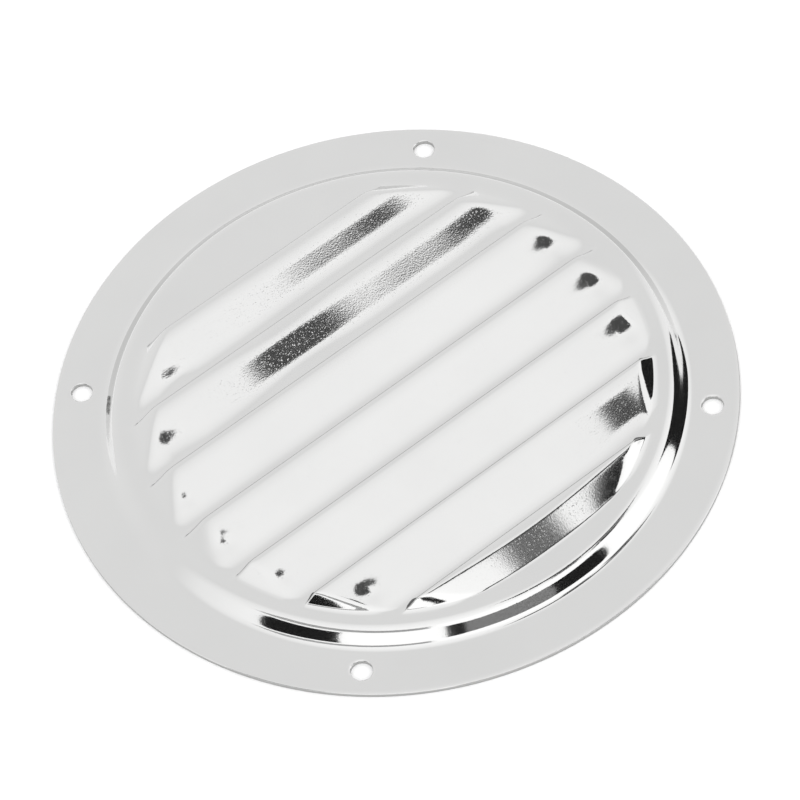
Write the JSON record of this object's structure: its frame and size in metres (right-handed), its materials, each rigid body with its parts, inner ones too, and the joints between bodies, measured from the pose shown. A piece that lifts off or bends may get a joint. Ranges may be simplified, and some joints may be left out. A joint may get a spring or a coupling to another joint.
{
  "type": "round louvred vent cover",
  "caption": "Round pressed-sheet vent cover with a flat screw flange, a raised field and parallel lanced louvres that let air through and shed rain.",
  "frame": {"origin": "centre of the disc on the flange's back face, the face that lies on the wall", "axes": "+Z out of the wall, X along the louvres, and the open lips of the louvres face -Y, which is down on a wall"},
  "size_m": [0.127, 0.127, 0.0054],
  "materials": {
    "polished_steel": "mirror-polished stainless sheet"
  },
  "bodies": {
    "root": {"vent_cover": "polished_steel"}
  },
  "joints": []
}
